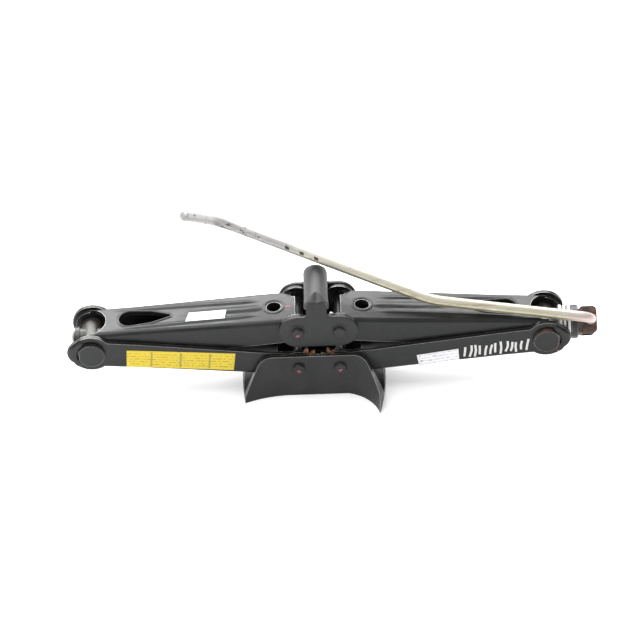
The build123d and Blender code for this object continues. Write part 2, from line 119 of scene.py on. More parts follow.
def dust_group():
    """Two masks, both from noise: dull dusty patches, and fine scattered specks."""
    inputs = (("Patch scale", 40.0), ("Speck scale", 1500.0), ("Amount", 0.5))
    outputs = (("Patches", "NodeSocketFloat"), ("Specks", "NodeSocketFloat"))
    group, given, result = node_group("dust", inputs, outputs)
    wide = noise(group, given.outputs["Patch scale"], 6.0, 0.6, 0.4)
    fine = noise(group, given.outputs["Speck scale"], 3.0, 0.7)
    raised = math_node(group, "ADD", wide, math_node(group, "MULTIPLY", given.outputs["Amount"], 0.3))
    group.links.new(ramp(group, raised, 0.5, 0.9), result.inputs["Patches"])
    group.links.new(ramp(group, fine, 0.62, 0.78), result.inputs["Specks"])
    return group


worn_edge = worn_edge_group()
dust = dust_group()


def use_group(tree, group, **values):
    """Places a shared group, its inputs given with underscores for spaces."""
    node = tree.nodes.new("ShaderNodeGroup")
    node.node_tree = group
    for key, value in values.items():
        node.inputs[key.replace("_", " ")].default_value = value
    return node


def new_material(name):
    """A material with its node tree and its Principled shader."""
    material = bpy.data.materials.new(name)
    material.use_nodes = True
    return material, material.node_tree, material.node_tree.nodes["Principled BSDF"]


def bump(tree, shader, height, strength, distance):
    """Feeds a height into the shader's normal."""
    node = add_node(
        tree, "ShaderNodeBump", None, {"Strength": strength, "Distance": distance, "Height": height}
    )
    tree.links.new(node.outputs[0], shader.inputs["Normal"])


def black_paint(name, base, dusty, edge_amount, rusty=None):
    """Satin black paint mottled by dust, grey steel on rubbed edges; rusty gives a mask of rust."""
    material, tree, shader = new_material(name)
    dirt = use_group(tree, dust, Patch_scale=38.0, Speck_scale=1400.0, Amount=dusty)
    wear = use_group(tree, worn_edge, Width=0.0009, Breakup=700.0, Amount=edge_amount)
    cloud = noise(tree, 14.0, 3.0, 0.5)
    paint = blend_colour(tree, cloud, (*[c * 0.75 for c in base], 1), (*[c * 1.25 for c in base], 1))
    dusted = math_node(tree, "MULTIPLY", dirt.outputs["Patches"], 0.22 * dusty)
    paint = blend_colour(tree, dusted, paint, (0.11, 0.10, 0.105, 1))
    specks = math_node(tree, "MULTIPLY", dirt.outputs["Specks"], 0.10)
    paint = blend_colour(tree, specks, paint, (0.30, 0.28, 0.27, 1))
    if rusty:
        patches = ramp(tree, noise(tree, 160.0, 6.0, 0.7), 0.38, 0.58)
        where = math_node(tree, "MULTIPLY", rusty(tree), patches)
        rust = blend_colour(tree, noise(tree, 500.0), (0.10, 0.035, 0.015, 1), (0.42, 0.13, 0.04, 1))
        paint = blend_colour(tree, where, paint, rust)
    colour = blend_colour(tree, wear.outputs["Mask"], paint, (0.28, 0.275, 0.26, 1))
    tree.links.new(colour, shader.inputs["Base Color"])
    rough = math_node(tree, "ADD", 0.30, math_node(tree, "MULTIPLY", dirt.outputs["Patches"], 0.2))
    tree.links.new(rough, shader.inputs["Roughness"])
    metal = math_node(tree, "MULTIPLY", wear.outputs["Mask"], 0.8)
    shader.inputs["Specular IOR Level"].default_value = 0.34
    tree.links.new(metal, shader.inputs["Metallic"])
    orange_peel = math_node(tree, "ADD", noise(tree, 420.0, 2.0), noise(tree, 60.0, 3.0))
    bump(tree, shader, orange_peel, 0.22, 0.0006)
    return material


def paint_node(node, material):
    """Gives a carried-over node its finish."""
    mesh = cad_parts[node].data
    mesh.materials.clear()
    mesh.materials.append(material)


foot_paint = black_paint("foot_paint", (0.0075, 0.0090, 0.0080), 0.4, 0.62)
for node in ("foot_channel", "foot_pivot_pin_left", "foot_pivot_pin_right"):
    paint_node(node, foot_paint)


# ---------------------------------------------------------------------------
# Inspection paint: pink dabs brushed on three rivets and a dash on the left upper arm, a
# thin skin of enamel that follows what it lies on.
# ---------------------------------------------------------------------------

DAB_THICK = 0.00012
DAB_SIZE = (0.0016, 0.0010)  # half length and half height
DAB_LOW = 0.0012  # how far the dabs lie below the rivets' centres
WELD = 1e-7  # points closer than this are one


def surface(name, points, wrap_columns=False, flip=False):
    """A mesh object of quads over a grid of points (rows, columns, 3), its poles welded.

    Its UV map holds each corner's share of the rows and of the columns.
    """
    rows, columns = points.shape[:2]
    i = np.arange(rows - 1)[:, None]
    j = np.arange(columns if wrap_columns else columns - 1)[None, :]
    after_j = (j + 1) % columns
    quads = [i * columns + j, i * columns + after_j, (i + 1) * columns + after_j, (i + 1) * columns + j]
    quads = np.stack(quads, -1).reshape(-1, 4)
    across = np.stack(np.broadcast_arrays(i / (rows - 1), j / (columns - 1)), -1)
    step = np.array(((0, 0), (0, 1), (1, 1), (1, 0))) / (rows - 1, columns - 1)
    corners = across[:, :, None, :] + step
    corners = corners.reshape(-1, 4, 2)
    if flip:
        quads, corners = quads[:, ::-1], corners[:, ::-1]
    mesh = bpy.data.meshes.new(name)
    mesh.from_pydata(points.reshape(-1, 3).tolist(), [], quads.tolist())
    layer = mesh.uv_layers.new(name="shares")
    layer.data.foreach_set("uv", corners.astype(np.float32).ravel())
    mesh.shade_smooth()
    welded = bmesh.new()
    welded.from_mesh(mesh)
    bmesh.ops.remove_doubles(welded, verts=welded.verts, dist=WELD)
    welded.to_mesh(mesh)
    welded.free()
    piece = bpy.data.objects.new(name, mesh)
    bpy.context.collection.objects.link(piece)
    return piece


def finish_piece(piece, material, body, node=None):
    """Gives a new piece its material and body, and hides the CAD node it stands for if any."""
    piece.data.materials.append(material)
    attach(piece, body)
    if node:
        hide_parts(node)


def centre_of(node):
    """The middle of a CAD node's box."""
    low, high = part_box(node)
    return np.array(low) * 0.5 + np.array(high) * 0.5


def dab(name, centre, turn, body):
    """A brushed dab on a face looking to -Y: a low dome over a wobbling ellipse."""
    angle = np.linspace(0, 2 * math.pi, 28, endpoint=False)[None, :]
    share = np.array((1.0, 0.9, 0.6, 0.0))[:, None]
    height = np.array((0.0, 0.8, 1.0, 1.0))[:, None] * DAB_THICK
    wobble = 1 + 0.16 * np.sin(3 * angle + 1.0) + 0.10 * np.sin(5 * angle)
    along = DAB_SIZE[0] * share * wobble * np.cos(angle)
    up = DAB_SIZE[1] * share * wobble * np.sin(angle)
    x = centre[0] + along * math.cos(turn) - up * math.sin(turn)
    z = centre[2] + along * math.sin(turn) + up * math.cos(turn)
    y = centre[1] - height + 0 * angle
    piece = surface(name, np.stack(np.broadcast_arrays(x, y, z), -1), wrap_columns=True)
    finish_piece(piece, pink, body)


pink, pink_tree, pink_shader = new_material("pink_enamel")
pale_pink, dirty_pink = (0.42, 0.09, 0.13, 1), (0.12, 0.025, 0.035, 1)
pink_colour = blend_colour(pink_tree, noise(pink_tree, 1500.0), dirty_pink, pale_pink)
pink_tree.links.new(pink_colour, pink_shader.inputs["Base Color"])
pink_shader.inputs["Roughness"].default_value = 0.5

for node, body, turn in (
    ("foot_pivot_pin_left", "foot", -0.5),
    ("foot_pivot_pin_right", "foot", 0.6),
    ("head_pivot_pin_left", "head", 0.2),
):
    spot = centre_of(node)
    spot[1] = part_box(node)[0][1]
    spot[2] -= DAB_LOW
    dab("dab_" + node, spot, turn, body)


# ---------------------------------------------------------------------------
# Lower arms: channels folded from 3 mm sheet, open upwards, with a gear sector at the foot
# and a broad ring at the elbow. Same black paint as the foot.
# ---------------------------------------------------------------------------

ARM_LENGTH = 0.160
LOWER_HALF_WIDTH = (0.0227, 0.0200)  # over the flanges, before and after they draw in
DRAW_IN = (0.030, 0.125)  # along the arm
ELBOW_UP = centre_of("lead_screw")[2]


def on_arm(side, pivot, along, across, up):
    """Points of an arm's own frame, along, across and up from its pivot, put in the scene."""
    rise = math.asin((ELBOW_UP - pivot[2]) / ARM_LENGTH)
    x = pivot[0] + side * (along * math.cos(rise) - up * math.sin(rise))
    z = pivot[2] + along * math.sin(rise) + up * math.cos(rise)
    return np.stack(np.broadcast_arrays(x, across, z), -1)


def object_place(tree):
    """Object coordinates, split into X, Y and Z."""
    where = add_node(tree, "ShaderNodeTexCoord").outputs["Object"]
    return add_node(tree, "ShaderNodeSeparateXYZ", None, {0: where}).outputs


def near_teeth(tree):
    """Mask of the gear sectors: high and near the middle of the jack."""
    place = object_place(tree)
    middle = ramp(tree, math_node(tree, "ABSOLUTE", place["X"]), 0.0135, 0.0085)
    return math_node(tree, "MULTIPLY", middle, ramp(tree, place["Z"], 0.036, 0.039))


lower_paint = black_paint("lower_arm_paint", (0.0080, 0.0092, 0.0088), 0.4, 0.50, near_teeth)
for node in ("lower_arm_left", "lower_arm_right"):
    paint_node(node, lower_paint)


# ---------------------------------------------------------------------------
# Nose lips: past each elbow the front flange of a lower arm is upset into a raised crescent
# that stands level with the pin's head, leaving a dark slot beside the head's flat.
# ---------------------------------------------------------------------------

LIP_IN_R = 0.0110
NOSE_AT = 0.0091  # centre of the nose's rounding past the elbow
NOSE_R = 0.0095
RING_R = 0.0160
LIP_MARGIN = 0.0009
LIP_HIGH = 0.0024
LIP_EASE = 0.0006
LIP_SPREAD = math.radians(62.0)


def nose_lip(name, side, node, body):
    """A crescent between an arc round the pin and the nose's outline, sunk a little at its rim."""
    turn = np.linspace(-LIP_SPREAD, LIP_SPREAD, 49)[:, None]
    far = NOSE_AT * np.cos(turn) + np.sqrt(NOSE_R**2 - (NOSE_AT * np.sin(turn)) ** 2)
    far = np.maximum(far, RING_R) - LIP_MARGIN
    taper = np.clip((LIP_SPREAD - np.abs(turn)) / 0.25, 0, 1)
    profile = np.array((0.0, 0.0, 0.3, 1.0, 1.0, 1.0, 0.3, 0.0, 0.0))[None, :]
    share = np.array((0.0, 0.0, 0.0, 0.0, 0.5, 1.0, 1.0, 1.0, 1.0))[None, :]
    ease = np.array((0.0, 0.0, 0.3, 1.0, 0.0, -1.0, -0.3, 0.0, 0.0))[None, :] * LIP_EASE
    off = np.array((0.0, 1.0, 1.0, 1.0, 1.0, 1.0, 1.0, 1.0, 0.0))[None, :] * LIP_HIGH * np.sqrt(taper)
    off = off - LIP_EASE * (1 - profile) * (off > LIP_EASE) * 0.6
    radius = LIP_IN_R + (far - LIP_IN_R) * share + ease
    along = ARM_LENGTH + radius * np.cos(turn)
    up = radius * np.sin(turn)
    points = on_arm(side, centre_of(node), along, -LOWER_HALF_WIDTH[1] - off, up)
    finish_piece(surface(name, points, flip=side > 0), lower_paint, body)


nose_lip("nose_lip_left", -1, "foot_pivot_pin_left", "arm_lower_left")
nose_lip("nose_lip_right", 1, "foot_pivot_pin_right", "arm_lower_right")


# ---------------------------------------------------------------------------
# Labels: printed vinyl stuck on the arms, one yellow and two white, with plain rows and boxes
# in place of print. Each is a thin sheet with a turned-down rim.
# ---------------------------------------------------------------------------

LABEL_THICK = 0.00018
# Corners (along, up): start low, start high, end low, end high.
YELLOW_CORNERS = ((0.0498, -0.0080), (0.0495, 0.0087), (0.1325, -0.0112), (0.1330, 0.0050))
WHITE_LOW_CORNERS = ((0.0600, -0.0108), (0.0592, -0.0002), (0.0915, -0.0102), (0.0917, 0.0008))


def label(name, face, corners, material, body):
    """A sheet laid between four corners (along, up) with its rim turned down; face places it."""
    share = np.concatenate(((0.0,), np.linspace(0.004, 0.996, 24), (1.0,)))
    a, b = np.meshgrid(share, share, indexing="ij")
    start_low, start_high, end_low, end_high = [np.array(c) for c in corners]
    low = start_low + (end_low - start_low) * a[..., None]
    high = start_high + (end_high - start_high) * a[..., None]
    flat = low + (high - low) * b[..., None]
    rim = (np.minimum(np.minimum(a, 1 - a), np.minimum(b, 1 - b)) > 0).astype(float)
    curl = 1 + 0.5 * np.exp(-((1 - a) ** 2 + b**2) / 0.01)
    points = face(flat[..., 0], flat[..., 1], LABEL_THICK * rim * curl)
    finish_piece(surface(name, points), material, body)


def printed(name, ground, ink, rows, boxes):
    """Vinyl with faint broken rows and ruled boxes, from the sheet's own shares, and scuffs."""
    material, tree, shader = new_material(name)
    shares = add_node(tree, "ShaderNodeUVMap", {"uv_map": "shares"}).outputs[0]
    place = add_node(tree, "ShaderNodeSeparateXYZ", None, {0: shares})
    along, up = place.outputs["X"], place.outputs["Y"]
    stretch = add_node(
        tree, "ShaderNodeVectorMath", {"operation": "MULTIPLY"}, {0: shares, 1: (90.0, rows, 1.0)}
    )
    dashes = ramp(tree, noise(tree, 1.0, 1.0, 0.5, 0.0, stretch.outputs[0]), 0.47, 0.53)
    wave = math_node(tree, "PINGPONG", math_node(tree, "MULTIPLY", up, rows), 0.5)
    lines = math_node(tree, "MULTIPLY", ramp(tree, wave, 0.26, 0.36), dashes)
    fold = math_node(tree, "PINGPONG", math_node(tree, "MULTIPLY", along, boxes), 0.5)
    ruled = ramp(tree, fold, 0.05, 0.02)
    frame_up = ramp(tree, math_node(tree, "PINGPONG", up, 0.5), 0.10, 0.08)
    inside = math_node(tree, "SUBTRACT", 1.0, frame_up)
    print_mask = math_node(tree, "MULTIPLY", math_node(tree, "MAXIMUM", lines, ruled), inside)
    print_mask = math_node(tree, "MULTIPLY", print_mask, 0.7)
    scuffs = ramp(tree, noise(tree, 260.0, 6.0, 0.7), 0.60, 0.68)
    colour = blend_colour(tree, print_mask, (*ground, 1), (*ink, 1))
    colour = blend_colour(tree, scuffs, colour, (0.25, 0.22, 0.12, 1))
    tree.links.new(colour, shader.inputs["Base Color"])
    shader.inputs["Roughness"].default_value = 0.45
    return material


def front_flange(side, node):
    """Places (along, up, off) on the front flange of a lower arm, off being out of its face."""
    pivot = centre_of(node)

    def face(along, up, off):
        """The flange's own plane, drawn in towards the elbow, moved off by off."""
        share = np.clip((along - DRAW_IN[0]) / (DRAW_IN[1] - DRAW_IN[0]), 0, 1)
        half = LOWER_HALF_WIDTH[0] + (LOWER_HALF_WIDTH[1] - LOWER_HALF_WIDTH[0]) * share
        return on_arm(side, pivot, along, -half - off, up)

    return face


yellow = printed("yellow_vinyl", (0.66, 0.50, 0.02), (0.22, 0.17, 0.02), 7.0, 4.0)
white = printed("white_vinyl", (0.80, 0.79, 0.82), (0.32, 0.31, 0.36), 4.0, 1.0)
left_face = front_flange(-1, "foot_pivot_pin_left")
right_face = front_flange(1, "foot_pivot_pin_right")
label("label_yellow", left_face, YELLOW_CORNERS, yellow, "arm_lower_left")
label("label_white_low", right_face, WHITE_LOW_CORNERS, white, "arm_lower_right")


# ---------------------------------------------------------------------------
# Marker strokes: a white paint marker's slanted strokes on the right lower arm's front face,
# thin ribbons of paint.
# ---------------------------------------------------------------------------

STROKE_WIDE = 0.0017
STROKES = 13
STROKE_FROM, STROKE_STEP = 0.0955, 0.0040  # along the arm
STROKE_LOW, STROKE_HIGH = -0.0085, 0.0015
STROKE_LEAN = 0.0016
SHAKE = 0.0010  # how uneven the hand is


def stroke(name, face, corners, material, body):
    """A ribbon through corners (along, up), a soft ridge of paint across its width."""
    ends = np.array(corners)
    share = np.linspace(0, 1, 12 * (len(ends) - 1) + 1)
    at = np.linspace(0, 1, len(ends))
    path = np.stack([np.interp(share, at, ends[:, k]) for k in (0, 1)], -1)
    tangent = np.gradient(path, axis=0)
    tangent /= np.linalg.norm(tangent, axis=1)[:, None]
    normal = np.stack((-tangent[:, 1], tangent[:, 0]), -1)
    across = np.array((-0.5, -0.3, 0.0, 0.3, 0.5))
    height = np.array((0.0, 0.8, 1.0, 0.8, 0.0)) * DAB_THICK
    flat = path[:, None, :] + normal[:, None, :] * across[None, :, None] * STROKE_WIDE
    points = face(flat[..., 0], flat[..., 1], height[None, :])
    finish_piece(surface(name, points), material, body)


marker, _, marker_shader = new_material("white_marker")
marker_shader.inputs["Base Color"].default_value = (0.62, 0.62, 0.60, 1)
marker_shader.inputs["Roughness"].default_value = 0.6
for number in range(STROKES):
    left = STROKE_FROM + STROKE_STEP * number
    lean = STROKE_LEAN + SHAKE * math.sin(1.7 * number)
    low = STROKE_LOW + SHAKE * math.sin(2.3 * number + 1.0)
    high = STROKE_HIGH + 1.2 * SHAKE * math.sin(1.1 * number)
    bowed = (left + 0.6 * lean + 0.7 * SHAKE * math.sin(number), (low + high) / 2)
    corners = ((left, low), bowed, (left + lean, high))
    stroke(f"marker_{number}", right_face, corners, marker, "arm_lower_right")


# ---------------------------------------------------------------------------
# Upper arms: channels folded from 2.8 mm sheet, open downwards. Their webs are pierced by a
# teardrop and a round hole, both with a dimpled lip, and stiffened by pressed ribs.
# ---------------------------------------------------------------------------

# The upper arms take a darker copy of the jack's black paint: painted shade for the shade on their
# flanges, also carried by the lips and ribs.
upper_shaded_paint = black_paint("upper_arm_paint", (0.0052, 0.0060, 0.0058), 0.40, 0.54)
for node in ("upper_arm_left", "upper_arm_right"):
    paint_node(node, upper_shaded_paint)

WEB_UP = (0.0093, 0.0152)  # web's outer face above the pivot line, at the head and at the elbow
TEARDROP = ((0.098, 0.0010), (0.113, 0.0064), (0.128, 0.0084))  # circles: along, radius
WEB_HOLE = (0.017, 0.0056)
HOLE_POINTS = 120  # round each hole's outline


def web_face(side, node):
    """Places (along, across, off) on the web of an upper arm, off being out of its face."""
    pivot = centre_of(node)

    def face(along, across, off):
        """The web's own plane, sloping up towards the elbow, raised by off."""
        up = WEB_UP[0] + (WEB_UP[1] - WEB_UP[0]) * along / ARM_LENGTH + off
        return on_arm(side, pivot, along, across, up)

    return face


def hull_outline(circles):
    """Outline round a row of circles: for each direction, the furthest support of them all."""
    angle = np.linspace(0, 2 * math.pi, HOLE_POINTS, endpoint=False)
    reach = np.stack([at * np.cos(angle) + radius for at, radius in circles])
    best = np.argmax(reach, axis=0)
    centre = np.array([at for at, radius in circles])[best]
    radius = np.array([radius for at, radius in circles])[best]
    outline = np.stack((centre + radius * np.cos(angle), radius * np.sin(angle)), -1)
    return outline, np.stack((np.cos(angle), np.sin(angle)), -1)


def pressed_lip(name, side, face, circles, profile, body):
    """A lip swept round a hole: each profile point is (outwards from the edge, off the face)."""
    outline, normal = hull_outline(circles)
    out = np.array([p[0] for p in profile])[:, None]
    off = np.array([p[1] for p in profile])[:, None]
    along = outline[None, :, 0] + normal[None, :, 0] * out
    across = outline[None, :, 1] + normal[None, :, 1] * out
    points = face(along, across, off + 0 * along)
    lip = surface(name, points, wrap_columns=True, flip=side < 0)
    finish_piece(lip, upper_shaded_paint, body)


def pressed_rib(name, side, face, start, end, width, height, body):
    """A rib between two points (along, across): a cosine ridge whose ends fade out."""
    share = np.linspace(0, 1, 60)[:, None]
    across = np.linspace(-1, 1, 17)[None, :]
    fade = np.clip(np.minimum(share / 0.12, (1 - share) / 0.35), 0, 1)
    fade = fade * fade * (3 - 2 * fade)
    path_along = start[0] + (end[0] - start[0]) * share
    path_across = start[1] + (end[1] - start[1]) * share
    ridge = height * fade * (0.5 + 0.5 * np.cos(math.pi * across)) - 0.00002
    points = face(path_along + 0 * across, path_across + across * width * (0.55 + 0.45 * fade), ridge)
    finish_piece(surface(name, points, flip=side > 0), upper_shaded_paint, body)


# Sections of the lips: (out from the hole's edge, off the web).
LIP = (
    (0.0026, -0.00005), (0.0019, 0.00015), (0.0012, 0.00045), (0.0006, 0.00062),
    (0.0002, 0.00045), (-0.00002, 0.0001), (-0.0001, -0.0004), (-0.0001, -0.0027),
)
DIMPLE = (
    (0.0034, -0.00005), (0.0026, 0.0004), (0.0019, 0.00055), (0.0012, 0.0003),
    (0.0005, 0.00002), (0.0, -0.0002), (-0.0003, -0.0008), (-0.0003, -0.0027),
)
SIDE_RIB = ((0.026, 0.0085), (0.150, 0.0112))  # ends, along and off the middle
SIDE_RIB_SIZE = (0.0030, 0.0008)  # half width and height
MIDDLE_RIB = ((0.0225, 0.0), (0.096, 0.0))
MIDDLE_RIB_SIZE = (0.0050, 0.0009)
for side, word in ((-1, "left"), (1, "right")):
    web = web_face(side, "head_pivot_pin_" + word)
    body = "arm_upper_" + word
    pressed_lip("teardrop_lip_" + word, side, web, TEARDROP, LIP, body)
    pressed_lip("hole_lip_" + word, side, web, (WEB_HOLE,), DIMPLE, body)
    for place, across in (("front", -1.0), ("rear", 1.0)):
        start, end = [(along, across * off) for along, off in SIDE_RIB]
        pressed_rib(f"rib_{place}_{word}", side, web, start, end, *SIDE_RIB_SIZE, body)
    pressed_rib("rib_middle_" + word, side, web, *MIDDLE_RIB, *MIDDLE_RIB_SIZE, body)

# Corners (along, across), as on the lower arms' labels.
WHITE_TOP_CORNERS = ((0.0533, 0.0002), (0.0545, -0.0098), (0.0825, 0.0002), (0.0850, -0.0098))
OVER_RIBS = 0.0009  # the top label lies over the ribs
DASH_ALONG = (0.0040, 0.0088)
DASH_ACROSS = (-0.0012, 0.0002)
left_web = web_face(-1, "head_pivot_pin_left")
label(
    "label_white_top", lambda along, across, off: left_web(along, across, off + OVER_RIBS),
    WHITE_TOP_CORNERS, white, "arm_upper_left",
)
dash_along, dash_across = np.meshgrid(
    np.linspace(*DASH_ALONG, 6), np.linspace(*DASH_ACROSS, 4), indexing="ij"
)
dash = surface("pink_dash", left_web(dash_along, dash_across, 0.0001))
finish_piece(dash, pink, "arm_upper_left")


# ---------------------------------------------------------------------------
# Head: pressed from one strap of 3 mm sheet, its two lobed plates riveted to the upper arms.
# At the front end of the bridge the strap folds in a V between two swollen shoulders; the rear end is a
# plain rounded fold.
# ---------------------------------------------------------------------------

head_paint = black_paint("head_paint", (0.0095, 0.0108, 0.0102), 0.5, 0.56)
for node in ("head_pivot_pin_left", "head_pivot_pin_right"):
    paint_node(node, head_paint)

HEAD_SHEET = 0.003
LOBE_R = 0.0143
BRIDGE_R = 0.0093
NECK_HALF = 0.0078
NECK_FILLET = 0.0030
BRIDGE_ASIDE = -0.0012  # the bridge sits a little off the middle
FOLD_BACK = 0.0088  # depth of the V along the crown
SHOULDER_BACK = 0.0022
ROUND_BACK = 0.0040  # further depth of the rear end, which has no V
CREASE_LOW = 0.66  # how far the V is pushed in, as a share of the bridge's radius
BRIDGE_PEAK = 0.045  # how much the bridge is narrower than round at 45 degrees
FOLD_LOW = 0.54  # share of the bridge's radius where the V meets the plate
SHOULDER_LOW = 0.88
SHOULDER_SWELL = 0.050  # how far the shoulders swell, as a share of the radius
V_HALF = math.radians(52.0)  # from the V's middle round to its shoulders
BRIDGE_TURN = 96  # degrees from the crown down to each lower edge
SHEET_EDGE = 0.0006  # rounding of a sheared edge

head_low, head_high = [np.array(v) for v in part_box("head_saddle")]
head_pivots = [centre_of("head_pivot_pin_left"), centre_of("head_pivot_pin_right")]
bridge_z = head_high[2] - BRIDGE_R


def arc(centre, radius, start, end, count=24):
    """Points of an arc, angles in degrees."""
    turn = np.radians(np.linspace(start, end, count))
    return np.stack((centre[0] + radius * np.cos(turn), centre[1] + radius * np.sin(turn)), -1)


def fold_shares(turn):
    """How far a place round the bridge is from the V: 0 at its middle, 1 on the shoulders."""
    return np.clip(np.abs(turn) / V_HALF, 0, 1)


turn = np.radians(np.linspace(BRIDGE_TURN, -BRIDGE_TURN, 65))
meet = BRIDGE_R * (FOLD_LOW + (SHOULDER_LOW - FOLD_LOW) * fold_shares(turn))
top = np.stack((BRIDGE_ASIDE + meet * np.sin(turn), bridge_z + meet * np.cos(turn)), -1)
right, left = head_pivots[1], head_pivots[0]
corner_z = right[2] + LOBE_R + NECK_FILLET
outline = np.concatenate((
    top,
    arc((BRIDGE_ASIDE - NECK_HALF - NECK_FILLET, corner_z), NECK_FILLET, 0, -90, 8),
    arc((left[0], left[2]), LOBE_R, 90, 270, 48),
    arc((right[0], right[2]), LOBE_R, -90, 90, 48),
    arc((BRIDGE_ASIDE + NECK_HALF + NECK_FILLET, corner_z), NECK_FILLET, 270, 180, 8),
))


def plate(name, outline, centre, near, far):
    """A sheet cut to an outline in X and Z: fan, eased edge, wall, eased edge and fan."""
    edge = np.roll(outline, -1, axis=0) - np.roll(outline, 1, axis=0)
    normal = np.stack((edge[:, 1], -edge[:, 0]), -1)
    normal /= np.linalg.norm(normal, axis=1)[:, None] + 1e-12
    middle = np.array(centre)
    ease = SHEET_EDGE * np.array((1.0, 1.0, 0.3, 0.0, 0.0, 0.3, 1.0, 1.0))
    fan = np.array((0.0, 1.0, 1.0, 1.0, 1.0, 1.0, 1.0, 0.0))
    deep = SHEET_EDGE * np.array((0.0, 0.0, 0.3, 1.0, -1.0, -0.3, 0.0, 0.0))
    base = np.array((near, near, near, near, far, far, far, far))
    sign = 1.0 if near < far else -1.0
    flat = (outline[None] - normal[None] * ease[:, None, None] - middle) * fan[:, None, None] + middle
    y = np.broadcast_to((base + sign * deep)[:, None], flat.shape[:2])
    points = np.stack((flat[..., 0], y, flat[..., 1]), -1)
    return surface(name, points, wrap_columns=True, flip=near < far)


def fold_rows(turn, y_end, inward, crease):
    """Rows from the plate's face over the fold to the bridge: a quadratic curve per column.

    With crease 1 the fold is a V between two shoulders, with crease 0 a plain rounded corner.
    """
    q = 1 - crease * (1 - fold_shares(turn))
    back = SHOULDER_BACK + (FOLD_BACK - SHOULDER_BACK) * (1 - q) + ROUND_BACK * (1 - crease)
    swollen = np.sin(math.pi * np.clip((np.abs(turn) - 0.85) / 1.2, 0, 1))
    swell = 1 + SHOULDER_SWELL * crease * swollen
    start_r = BRIDGE_R * (FOLD_LOW + (SHOULDER_LOW - FOLD_LOW) * fold_shares(turn))
    control_r = BRIDGE_R * (CREASE_LOW + (1.02 - CREASE_LOW) * q)
    control_y = y_end + inward * (0.0034 * (1 - q) + 0.0001)
    start_y = y_end + inward * 0.0003
    end_y = y_end + inward * back
    t = np.linspace(0, 1, 14)[:, None]
    radius = (1 - t) ** 2 * start_r + 2 * t * (1 - t) * control_r + t**2 * BRIDGE_R * swell
    y = (1 - t) ** 2 * start_y + 2 * t * (1 - t) * control_y + t**2 * end_y
    return radius, y, swell, end_y


front_r, front_y, swell, front_end = fold_rows(turn, head_low[1], 1.0, 1.0)
rear_r, rear_y, _, rear_end = fold_rows(turn, head_high[1], -1.0, 0.0)
t = np.linspace(0, 1, 40)[1:-1, None]
middle_y = front_end + (rear_end - front_end) * t
calm = np.exp(-t / 0.12)
middle_r = BRIDGE_R * (1 + (swell - 1) * calm - 0.012 * np.sin(math.pi * t))
radius = np.concatenate((front_r, middle_r, rear_r[::-1]))
along_y = np.concatenate((front_y, middle_y, rear_y[::-1]))
radius = radius * (1 - BRIDGE_PEAK * np.sin(2 * turn) ** 2 * (np.abs(turn) < math.pi / 2))
bridge_x = BRIDGE_ASIDE + radius * np.sin(turn)
bridge_up = np.minimum(bridge_z + radius * np.cos(turn), head_high[2])
bridge_points = np.stack(np.broadcast_arrays(bridge_x, along_y, bridge_up), -1)
bridge = surface("head_bridge", bridge_points, flip=True)
thick = bridge.modifiers.new("sheet", "SOLIDIFY")
thick.thickness = HEAD_SHEET - SHEET_EDGE
thick.offset = -1.0
centre = (0.0, right[2])
# The bridge takes a lighter, dustier copy of the head's black paint: its lighter base is painted
# highlight on the bridge's rounded top and sides.
bridge_lit_paint = black_paint("bridge_lit_paint", (0.024, 0.024, 0.024), 1.0, 0.62)
finish_piece(bridge, bridge_lit_paint, "head", "head_saddle")
front_plate = plate("head_plate_front", outline, centre, head_low[1], head_low[1] + HEAD_SHEET)
rear_plate = plate("head_plate_rear", outline, centre, head_high[1], head_high[1] - HEAD_SHEET)
finish_piece(front_plate, head_paint, "head", "head_saddle")
finish_piece(rear_plate, head_paint, "head", "head_saddle")

SEAT_R = 0.0072  # pressed ring left round each rivet by the riveting tool
SEAT_WIDE = 0.0008
SEAT_HIGH = 0.0003
for side, pivot in zip(("left", "right"), head_pivots):
    across = np.linspace(-1, 1, 7)[:, None]
    turn = np.linspace(0, 2 * math.pi, 48, endpoint=False)[None, :]
    radius = SEAT_R + across * SEAT_WIDE + 0 * turn
    y = head_low[1] - SEAT_HIGH * np.cos(across * math.pi / 2) + 0.00003 + 0 * turn
    ring = np.stack((pivot[0] + radius * np.cos(turn), y, pivot[2] + radius * np.sin(turn)), -1)
    finish_piece(surface("seat_" + side, ring, wrap_columns=True), head_paint, "head")


# ---------------------------------------------------------------------------
# Elbow pins: steel pins turned with a broad head that has one flat, painted black and pressed
# into the trunnions from both sides. The right ones rust in a ring near the rim.
# ---------------------------------------------------------------------------

PIN_HEAD_R = 0.0105


def pin_rim(tree):
    """Mask of a thin ring near the rim of the right elbow's pin heads."""
    middle = centre_of("elbow_pin_right_front")
    where = add_node(tree, "ShaderNodeTexCoord").outputs["Object"]
    flattened = {"operation": "MULTIPLY_ADD"}
    from_middle = {0: where, 1: (1.0, 0.0, 1.0), 2: (-float(middle[0]), 0.0, -ELBOW_UP)}
    offset = add_node(tree, "ShaderNodeVectorMath", flattened, from_middle).outputs[0]
    away = add_node(tree, "ShaderNodeVectorMath", {"operation": "LENGTH"}, {0: offset}).outputs["Value"]
    return math_node(tree, "MULTIPLY", ramp(tree, away, PIN_HEAD_R - 0.0010, PIN_HEAD_R - 0.0002), 0.5)


rusty_pin = black_paint("rusty_pin_paint", (0.0080, 0.0092, 0.0088), 0.4, 0.50, pin_rim)
for depth in ("front", "rear"):
    paint_node(f"elbow_pin_left_{depth}", lower_paint)
    paint_node(f"elbow_pin_right_{depth}", rusty_pin)


# ---------------------------------------------------------------------------
# Screw line: two trunnions of oiled, darkened steel at the elbows, and outside the right one
# a zinc-plated ball thrust bearing and a thick black collar, all turned from bar.
# ---------------------------------------------------------------------------

